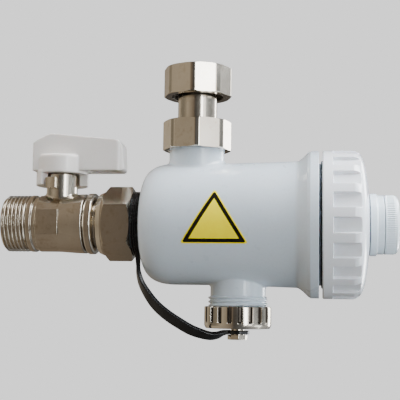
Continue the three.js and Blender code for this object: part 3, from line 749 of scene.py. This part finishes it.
def make_ball_and_seats():
    arc = [(BALL_R * math.sin(a), BALL_R * math.cos(a)) for a in np.linspace(math.pi, 0, 49)]
    arc[0], arc[-1] = (0, -BALL_R), (0, BALL_R)
    ball = turned("valve_ball_polished", arc, "X", STEM, even(96))
    bore = turned("ball_bore", [(0, -12), (7, -12), (7, 12), (0, 12)], "X", STEM, even(96))
    slot = block("ball_slot", (STEM_X - 8, -1.7, 7.6), (STEM_X + 8, 1.7, 12))
    boolean(ball, "DIFFERENCE", bore, slot)
    finish_piece(ball, NICKEL_X, "valve_lever", ["valve_ball"])
    hollow_r = BALL_R + 0.3
    curve = [(r, math.sqrt(hollow_r**2 - r * r)) for r in np.linspace(WATERWAY_R, 9, 8)]
    for name, node, way in (("seat_right", "valve_seat_right", 1), ("seat_left", "valve_seat_left", -1)):
        profile = [(r, way * h, 0) for r, h in curve] + [
            (10.4, way * 6, 0.2), (10.4, way * 10.6, 0.2), (WATERWAY_R, way * 10.6, 0.2)]
        seat = turned(name, rounded(profile, 0), "X", STEM, even(96))
        finish_piece(seat, SEAT_WHITE, "filter_body", [node])


def make_stem_parts():
    low, high = edges("valve_stem")
    stem = turned("stem", rounded([
        (0, 11), (4.2, 11, 0.2), (4.2, 13.2, 0.2), (3.2, 13.2, 0.1), (3.2, high.z, 0.2), (1.9, high.z, 0.1),
        (1.9, high.z - 8, 0), (0, high.z - 8)]), "Z", STEM, even(64))
    tang = bevelled(block("tang", (STEM_X - 3.2, -1.4, low.z), (STEM_X + 3.2, 1.4, 12)), 0.2, 2)
    boolean(stem, "UNION", tang)
    finish_piece(stem, NICKEL_Z, "valve_lever", ["valve_stem"])
    make_ring("stem_seal", "stem_packing", "filter_body", SEAT_WHITE, "Z", STEM_HOLE_R, GLAND_R, count=64)
    make_ring("gland", "gland_nut", "filter_body", NICKEL_Z, "Z", STEM_HOLE_R, GLAND_R, count=64)
    low, high = edges("lever_screw")
    bottom = low.z
    screw = turned("lever_screw_head", rounded([
        (0, bottom), (1.6, bottom, 0.2), (1.6, bottom + 10.4, 0.1), (3.4, bottom + 10.4, 0.2),
        (3.4, bottom + 12, 0.3), (2.4, high.z, 0.5), (0, high.z)]), "Z", STEM, even(64))
    slot = block("screw_slot", (STEM_X - 0.35, -2.2, high.z - 1.1), (STEM_X + 0.35, 2.2, high.z + 1))
    cross = block("screw_cross", (STEM_X - 2.2, -0.35, high.z - 1.1), (STEM_X + 2.2, 0.35, high.z + 1))
    boolean(screw, "DIFFERENCE", slot, cross)
    finish_piece(screw, STEEL, "valve_lever", ["lever_screw"])


def bezier(start, control, end, steps=8):
    points = []
    for step in range(steps + 1):
        t = step / steps
        weights = (1 - t) ** 2, 2 * t * (1 - t), t * t
        points.append(tuple(np.dot(weights, values) for values in zip(start, control, end)))
    return points


def make_lever():
    low, high = edges("lever")
    left, right = low.x - STEM_X, high.x - STEM_X
    bottom = low.z + 5.6
    grip_bottom = bottom + 1.2
    side = [(left, grip_bottom)]
    side += bezier((right - 1.8, grip_bottom), (right, grip_bottom), (right, grip_bottom + 1.8))
    side += bezier((right - 0.8, 35.4), (right - 0.9, 38.6), (right - 4.6, 39.1))
    side += [(-3.2, 41.9)] + bezier((-4.2, 41.9), (-5.6, 41.6), (left + 1.2, 38.6)) + [(left, 37.6)]
    grip = extruded("lever_grip", side, -7.1, 7.1)
    hub = turned("hub", rounded([
        (0, bottom), (11.7, bottom, 0), (11.7, 31.9, 1.6), (0, 31.9)]),
        "Z", angles=even(96))
    skirt = sector("skirt", 8.2, 12.1, 0, 232, low.z, bottom + 1, 60)
    ends = [(left - 1, -7.1), (right - 4, -7.1)] + bezier((right - 4, -7.1), (right, -7.1), (right, -3.1))
    ends += bezier((right, 3.1), (right, 7.1), (right - 4, 7.1)) + [(left - 1, 7.1)]
    boolean(grip, "INTERSECT", extruded("ends", ends, 20, 45, "Z"))
    boolean(grip, "UNION", hub, skirt)
    tools = [
        turned("cut", [(0, bottom - 1), (7.8, bottom - 1), (7.8, 25.2), (0, 25.2)], "Z", angles=even(64)),
        turned("cut", [(0, 25), (3.5, 25), (3.5, 31.3), (0, 31.3)], "Z", angles=even(48)),
        turned("cut", [(0, 31), (1.9, 31), (1.9, 35), (0, 35)], "Z", angles=even(32)),
        turned("cut", [(0, 34.3), (4, 34.3), (4, 45), (0, 45)], "Z", angles=even(48)),
        block("cut", (13, -4.9, bottom - 1), (27.2, 4.9, 35.4)),
    ]
    boolean(grip, "DIFFERENCE", *tools)
    grip.data.transform(Matrix.Translation((STEM_X * MM, 0, 0)))
    moulded(grip, 0.3, 5)
    return finish_piece(grip, LEVER_WHITE, "valve_lever", ["lever"], 60)


# ---- Lid, pocket, knob, strainer and magnets ----
def groove_angles():
    """Columns close together at the grooves' sides and further apart between them."""
    sector_size = 2 * math.pi / LID_GROOVES
    half = LID_GROOVE_HALF / LID_GROOVE_R
    fine = half + np.array([-0.024, -0.016, -0.011, -0.007, -0.003, 0.001, 0.005, 0.009, 0.013, 0.018, 0.026])
    inside = np.linspace(0, half - 0.032, 5)
    outside = np.linspace(half + 0.036, sector_size / 2, 6)
    right = np.concatenate([inside, fine, outside[:-1]])
    one = np.concatenate([-right[:0:-1], right, [sector_size / 2]])
    return np.concatenate([math.pi + one + index * sector_size for index in range(LID_GROOVES)])


def smooth(values, low, high):
    t = np.clip((values - low) / (high - low), 0, 1)
    return t * t * (3 - 2 * t)


def grooved(theta, radius, height):
    """Flat-bottomed grooves round the lid, open towards its face."""
    sector_size = 2 * math.pi / LID_GROOVES
    offset = np.mod(theta - math.pi + sector_size / 2, sector_size) - sector_size / 2
    outside = (radius > 29.4) & (height > LID_GROOVE_LEFT - 1.5) & (height < LID_HIGH.x - 0.5)
    across = 1 - smooth(np.abs(offset) * LID_GROOVE_R, LID_GROOVE_HALF - 0.22, LID_GROOVE_HALF + 0.22)
    along = smooth(height, LID_GROOVE_LEFT - 0.18, LID_GROOVE_LEFT + 0.18)
    floor = LID_GROOVE_FLOOR / np.cos(offset)
    depth = np.maximum(radius - floor, 0)
    return np.where(outside, radius - depth * across * along, radius), height


def make_lid():
    left, right = LID_LOW.x, LID_HIGH.x
    crown = [(LID_R, 71), (LID_R, 71.6), (32.7, 73.6), (31.2, 75), (28.5, 76.2), (24, 77.2), (18, 78)]
    spine = smooth_line(np.array(crown), 44)
    profile = rounded([
        (29.4, left, 0.2), (LID_R - 0.4, left, 0.3), (LID_R, left + 0.5, 0.4),
        *run(LID_R, left + 1.2, left + 3.6, 3),
        *run(LID_R, LID_GROOVE_LEFT - 0.5, LID_GROOVE_LEFT + 0.5, 14), *run(LID_R, left + 6, 70.8, 6),
        *[(r, h, 0) for r, h in spine], (12.3, right, 0.3), (12.3, 75, 0.2), (LID_FEMALE_R, 75, 0.2),
        *run(LID_FEMALE_R, 73.5, left + 3.4, 60), (29.3, left + 3, 0)])

    def shape(theta, radius, height):
        inner = threaded(left + 3.0, 73.8, LID_THREAD_PITCH, 0.9, outside=False)
        inside = at(radius, LID_FEMALE_R)
        return grooved(theta, np.where(inside, inner(theta, radius, height)[0], radius), height)
    lid = turned("lid_ribbed", profile, angles=groove_angles(), shape=shape)
    return finish_piece(lid, LID_WHITE_AND_PAINTED_LIGHT, "lid", ["lid"], 40)


def resampled(line, count):
    """Points at even distances along a line of points."""
    line = np.array(line)
    steps = np.concatenate([[0], np.cumsum(np.linalg.norm(np.diff(line, axis=0), axis=1))])
    even_steps = np.linspace(0, steps[-1], count)
    return np.stack([np.interp(even_steps, steps, column) for column in line.T], axis=1)


def smooth_line(points, count):
    """A smooth line through the points, as count points at even distances."""
    for _ in range(4):
        fine = [points[0]]
        for a, b in zip(points[:-1], points[1:]):
            fine += [0.75 * a + 0.25 * b, 0.25 * a + 0.75 * b]
        points = np.array(fine + [points[-1]])
    return resampled(points, count)


def make_seal():
    low, high = edges("lid_seal")
    seal = turned("mouth_ring", rounded([
        (27.9, low.x, 0.2), (28.8, low.x, 0.5), (28.8, high.x, 0.5), (27.9, high.x, 0.2)]), angles=even(192))
    return finish_piece(seal, RUBBER, "filter_body", ["lid_seal"])


def make_pocket():
    low, high = edges("magnet_pocket")
    pocket = turned("pocket_tube", rounded([
        (0, low.x), (12, low.x, 1), (12, 78.8, 0.1), (14.1, 78.8, 0.3), (14.1, 81.6, 0.6), (13.3, 82.1, 0.3),
        (13.3, high.x, 0.25), (10.8, high.x, 0.2), (10.8, low.x + 1.4, 0.5), (0, low.x + 1.4)]),
        angles=even(192))
    return finish_piece(pocket, KNOB_PAINTED_LIGHT, "lid", ["magnet_pocket"])


def ribbed(theta, radius, height):
    wave = 0.5 + 0.5 * np.cos(theta * KNOB_RIBS)
    band = smooth(height, 85.7, 86.1) * (1 - smooth(height, 89.2, 90.4))
    return np.where(radius > 12.6, radius - 0.22 * wave * band, radius), height


def make_knob():
    low, high = edges("knob")
    left = low.x
    knob = turned("knob_ribbed", rounded([
        (0, 80.2), (2.3, 80.2, 0), (2.3, left, 0.1), (10.4, left, 0.4), (10.4, 85.2, 0.1),
        (KNOB_R, 85.2, 0.25), *run(KNOB_R, 85.6, 88.6, 12), (KNOB_R, 89.2, 0.3), (12.9, 90.5, 0.8),
        (11.7, high.x, 0.8), (5, high.x, 0), (0, high.x)]), angles=even(KNOB_RIBS * 8), shape=ribbed)
    return finish_piece(knob, KNOB_PAINTED_LIGHT, "magnet_knob", ["knob"])


def make_magnets():
    for index in range(1, 5):
        make_ring(f"magnet_block_{index}", f"magnet_{index}", "magnet_stack", PLATING,
                  "X", MAGNET_HOLE_R, MAGNET_R, 0.35, 96)
    for index in range(1, 4):
        make_ring(f"pole_plate_{index}", f"pole_disc_{index}", "magnet_stack", STEEL,
                  "X", MAGNET_HOLE_R, MAGNET_R, 0.1, 96)
    low, high = edges("magnet_rod")
    rod = turned("magnet_rod_turned", rounded([
        (0, low.x), (4.5, low.x, 0.4), (4.5, low.x + 2, 0.3), (2, low.x + 2, 0.2), (2, high.x, 0.3),
        (0, high.x)]), angles=even(64))
    finish_piece(rod, STEEL, "magnet_stack", ["magnet_rod"])


def dress_hidden():
    """CAD nodes that stay as they are inside the housing, with their own materials."""
    for node, material in (("strainer_frame", SEAT_WHITE), ("strainer_mesh", STEEL)):
        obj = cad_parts[node]
        obj.data.materials.clear()
        obj.data.materials.append(material)


# ---- Drain cap and tether ----
def fluted(theta, radius, height):
    """Milled flutes round the cap, which run out above its lower edge."""
    sector_size = 2 * math.pi / CAP_FLUTES
    offset = np.mod(theta, sector_size) - sector_size / 2
    across = 1 - smooth(np.abs(offset) * CAP_R, 0.45, 1.1)
    along = smooth(height, -45.0, -44.0)
    return np.where(radius > 14.6, radius - 1.3 * across * along, radius), height


def make_drain_cap():
    low, high = edges("drain_cap")
    top = high.z + 0.6
    fine = [-0.078, -0.07, -0.06, -0.05, -0.04, -0.03, -0.015, 0, 0.015, 0.03, 0.04, 0.05, 0.06, 0.07, 0.078]
    sector_size = 2 * math.pi / CAP_FLUTES
    one = np.array(fine + [0.095, 0.125, 0.157, 0.189, 0.219])
    angles = np.concatenate([one + sector_size * (index + 0.5) for index in range(CAP_FLUTES)])
    cap = turned("drain_cap_fluted", rounded([
        (0, -45.3), (13.2, -45.3, 0.3), (13.2, top, 0.3), (14.9, top, 0.3), *run(CAP_R, top - 0.5, -43.6, 6),
        *run(CAP_R, -43.8, -45.2, 14), (15.15, -45.9, 0.4), (14.5, -47.2, 0.5),
        (3, -47.2, 0.2), (3, -50.2, 0),
        (0, -50.2)]), "Z", (DRAIN_X, 0, 0), angles, fluted)
    turns = np.radians(10 + 45 * np.arange(8))
    corners = [(DRAIN_X + 4.6 * math.cos(turn), 4.6 * math.sin(turn)) for turn in turns]
    head = bevelled(extruded("stud_head", corners, low.z, -50.1, "Z"), 0.2, 2)
    boolean(cap, "UNION", head)
    # Painted shade: the flute floors and the cap's inside get the dark nickel
    paint_shade_inside(cap, DRAIN_X, 14.75, -46.5, top - 0.2)
    return finish_piece(cap, NICKEL_FLAT, "drain_cap", ["drain_cap"], 32, True)


STRAP_ROUTE = [
    (-26.1, -5, -12.6), (-25.4, -6.8, -19.1), (-24.9, -7.6, -23), (-23.1, -8.2, -28.1), (-19.1, -8.8, -34.2),
    (-15.3, -9, -38.4), (-10.5, -8.8, -42.2), (-5.9, -8.3, -45.1), (-1.2, -7.5, -47.8), (3.2, -6.5, -49.5),
    (7.5, -5.2, -50.6), (10.6, -4, -50.4), (13.2, -2.4, -49.5), (15.5, -0.8, -49),
]
STRAP_HALF = (0.95, 2.5)
STRAP_LEAN = math.radians(64)


def spline(points, count):
    """Points at even distances along a smooth line that passes through all the given points."""
    points = np.array(points, float)
    padded = np.vstack([2 * points[0] - points[1], points, 2 * points[-1] - points[-2]])
    line = []
    for index in range(len(points) - 1):
        a, b, c, d = padded[index:index + 4]
        for t in np.linspace(0, 1, 20, endpoint=False):
            line.append(0.5 * (2 * b + (c - a) * t + (2 * a - 5 * b + 4 * c - d) * t**2
                               + (3 * b - a - 3 * c + d) * t**3))
    return resampled(line + [points[-1]], count)


def strap_section(steps=5):
    """Rounded rectangle, as [thick, wide] points."""
    half_thick, half_wide = STRAP_HALF
    edge = 0.45
    section = []
    for turn, (cx, cy) in enumerate(((1, 1), (-1, 1), (-1, -1), (1, -1))):
        for step in range(steps + 1):
            angle = math.pi / 2 * (turn + step / steps)
            section.append((cx * (half_thick - edge) + edge * math.cos(angle),
                            cy * (half_wide - edge) + edge * math.sin(angle)))
    return section


def make_tether():
    count = 150
    line = spline(STRAP_ROUTE, count)
    tangent = np.gradient(line, axis=0)
    tangent /= np.linalg.norm(tangent, axis=1)[:, None]
    front = np.array([0, -1, 0])
    inward = np.cross(front, tangent)
    inward /= np.linalg.norm(inward, axis=1)[:, None]
    forward = np.cross(tangent, inward)
    lean = STRAP_LEAN * np.sin(math.pi * np.linspace(0, 1, count) ** 1.35)[:, None]
    section = np.array(strap_section())
    points = []
    for thick, wide in section:
        points.append(line + inward * (thick * np.cos(lean) + wide * np.sin(lean))
                      + forward * (wide * np.cos(lean) - thick * np.sin(lean)))
    points = np.stack(points, axis=0)
    sides = len(section)
    faces = grid_faces(sides, count, False)
    faces.append(tuple(index * count for index in range(sides)))
    faces.append(tuple(index * count + count - 1 for index in reversed(range(sides))))
    strap = build("strap", points.reshape(-1, 3), faces)
    left = -28.2
    ridges = []
    for index in range(4):
        ridges += [(15, left + 0.12 + index * 0.98, 0.2), (15, left + 0.68 + index * 0.98, 0.2),
                   (14.45, left + 0.9 + index * 0.98, 0.1)]
    ring = turned("tether_ring", rounded([
        (13.2, left, 0.2), *ridges[:-1], (15, -24.3, 0.3), (13.2, -24.3, 0.2)]), angles=even(144))
    low = -49.8
    eye = turned("tether_eye", rounded([
        (3.3, low, 0.2), (5.3, low, 0.4), (5.3, low + 1.6, 0.4), (3.3, low + 1.6, 0.2)]),
        "Z", (DRAIN_X, 0, 0), even(64))
    boolean(ring, "UNION", eye, strap)
    ring.name = "tether_strap"
    shade(ring, 40)
    ring.data.materials.clear()
    ring.data.materials.append(RUBBER)
    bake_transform(ring)
    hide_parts("tether")
    return ring


# ---- Studio ----
def make_camera():
    back = Vector((
        math.sin(CAMERA_AZIMUTH) * math.cos(CAMERA_ELEVATION),
        -math.cos(CAMERA_AZIMUTH) * math.cos(CAMERA_ELEVATION),
        math.sin(CAMERA_ELEVATION),
    ))
    level_right = Vector((math.cos(CAMERA_AZIMUTH), math.sin(CAMERA_AZIMUTH), 0))
    level_up = back.cross(level_right)
    right = math.cos(CAMERA_ROLL) * level_right + math.sin(CAMERA_ROLL) * level_up
    up = back.cross(right)
    place = Vector((0, 0, AXIS_Z)) + back * CAMERA_DEPTH - right * CAMERA_OFFSET[0] - up * CAMERA_OFFSET[1]
    data = bpy.data.cameras.new("camera")
    data.sensor_width = SENSOR
    data.lens = LENS
    camera = bpy.data.objects.new("camera", data)
    camera.matrix_world = Matrix.Translation(place) @ Matrix((right, up, back)).transposed().to_4x4()
    bpy.context.scene.collection.objects.link(camera)
    bpy.context.scene.camera = camera


def softbox(name, radiance, colour, width, height, azimuth, elevation, distance=0.9, mirrored=True):
    """Rectangular light seen from the object's middle at an azimuth from +X and an elevation, in degrees."""
    turn, rise = math.radians(azimuth), math.radians(elevation)
    away = Vector((math.cos(turn) * math.cos(rise), math.sin(turn) * math.cos(rise), math.sin(rise)))
    data = bpy.data.lights.new(name, "AREA")
    data.shape = "RECTANGLE"
    data.size, data.size_y = width, height
    data.energy = radiance * math.pi * width * height
    data.color = colour
    light = bpy.data.objects.new(name, data)
    light.location = Vector((0, 0, AXIS_Z)) + away * distance
    light.rotation_euler = away.to_track_quat("Z", "Y").to_euler()
    light.visible_glossy = mirrored
    bpy.context.scene.collection.objects.link(light)


def direction_ramp(tree, direction, stops):
    """Colour that changes with how far a ray points along a direction, from -1 to 1."""
    coordinates = tree.nodes.new("ShaderNodeTexCoord")
    product = tree.nodes.new("ShaderNodeVectorMath")
    product.operation = "DOT_PRODUCT"
    product.inputs[1].default_value = direction
    remap = tree.nodes.new("ShaderNodeMapRange")
    remap.inputs["From Min"].default_value = -1
    ramp = tree.nodes.new("ShaderNodeValToRGB")
    elements = ramp.color_ramp.elements
    elements[0].position, elements[0].color = (stops[0][0] + 1) / 2, (*stops[0][1], 1)
    elements[1].position, elements[1].color = (stops[-1][0] + 1) / 2, (*stops[-1][1], 1)
    for position, colour in stops[1:-1]:
        elements.new((position + 1) / 2).color = (*colour, 1)
    tree.links.new(coordinates.outputs["Generated"], product.inputs[0])
    tree.links.new(product.outputs["Value"], remap.inputs["Value"])
    tree.links.new(remap.outputs["Result"], ramp.inputs["Fac"])
    return ramp.outputs["Color"]


def make_world():
    """Pale backdrop for the camera; for light and reflections a warm dim left and front, brighter above."""
    world = bpy.data.worlds.new("studio")
    bpy.context.scene.world = world
    world.use_nodes = True
    tree = world.node_tree
    tree.nodes.clear()
    output = tree.nodes.new("ShaderNodeOutputWorld")
    mix = tree.nodes.new("ShaderNodeMixShader")
    path = tree.nodes.new("ShaderNodeLightPath")
    seen = tree.nodes.new("ShaderNodeBackground")
    seen.inputs["Color"].default_value = (1.3, 1.3, 1.3, 1)
    around = tree.nodes.new("ShaderNodeBackground")
    side = direction_ramp(tree, (1, 0, 0), (
        (-1, (0.26, 0.23, 0.18)), (-0.8, (0.70, 0.61, 0.48)), (-0.55, (0.50, 0.43, 0.34)),
        (-0.26, (0.31, 0.25, 0.19)), (-0.205, (0.27, 0.22, 0.17)), (-0.18, (0.12, 0.11, 0.10)),
        (-0.09, (0.11, 0.10, 0.09)), (0.3, (0.22, 0.23, 0.24)), (0.6, (0.5, 0.52, 0.55)),
        (0.85, (0.95, 1.0, 1.05)), (1, (0.3, 0.33, 0.36))))
    rise = direction_ramp(tree, (0, 0.35, 0.94), (
        (-1, (0.8, 0.82, 0.85)), (-0.5, (0.65, 0.65, 0.65)), (0.1, (0.8, 0.8, 0.8)), (1, (1.0, 1.0, 1.0))))
    tree.links.new(multiplied(tree, side, rise), around.inputs["Color"])
    tree.links.new(path.outputs["Is Camera Ray"], mix.inputs["Fac"])
    tree.links.new(around.outputs["Background"], mix.inputs[1])
    tree.links.new(seen.outputs["Background"], mix.inputs[2])
    tree.links.new(mix.outputs["Shader"], output.inputs["Surface"])


def make_floor():
    size, drop = 6.0, -2.5
    mesh = bpy.data.meshes.new("floor")
    mesh.from_pydata([(-size, -size, drop), (size, -size, drop), (size, size, drop), (-size, size, drop)], [],
                     [(0, 1, 2, 3)])
    floor = bpy.data.objects.new("floor", mesh)
    bpy.context.scene.collection.objects.link(floor)
    nodes = Nodes("floor_paper", "floor")
    tone = nodes.ramp(nodes.noise(6, 2), (0.58, 0.58, 0.58), (0.62, 0.62, 0.62))
    nodes.link(tone, nodes.shader.inputs["Base Color"])
    nodes.set(Roughness=0.9, Emission_Color=(1, 1, 1, 1), Emission_Strength=0.85)
    mesh.materials.append(nodes.material)
    floor.visible_glossy = False
    floor.visible_diffuse = False


def make_studio():
    make_camera()
    make_world()
    make_floor()
    softbox("front_right", 12.0, (0.94, 0.98, 1.0), 0.15, 0.7, -57, 12)
    softbox("front_right_dim", 2.4, (0.98, 0.99, 1.0), 0.22, 0.7, -42, 10)
    softbox("back_right", 10.0, (0.97, 0.99, 1.0), 0.25, 0.8, 51, 5)
    softbox("overhead", 17.0, (0.95, 0.97, 1.0), 0.6, 0.9, 0, 52)
    softbox("lower_right", 4.0, (0.90, 0.97, 1.0), 0.5, 0.5, -8, -25)
    softbox("upper_left", 4.0, (1.0, 0.97, 0.95), 0.8, 0.8, 190, 40, mirrored=False)


make_housing()
make_label()
make_top_nut("boiler_nut_turned", -2, edges("boiler_nut")[0].z, False, "boiler_union", "boiler_nut")
make_top_nut("lower_nut_turned", -7, edges("lower_nut")[0].z, True, "lower_union", "lower_nut")
make_union_nut()
make_nipple()
make_washers()
make_valve_body()
make_end_piece()
make_ball_and_seats()
make_stem_parts()
make_lever()
make_lid()
make_seal()
make_pocket()
make_knob()
make_magnets()
dress_hidden()
make_drain_cap()
make_tether()
make_studio()
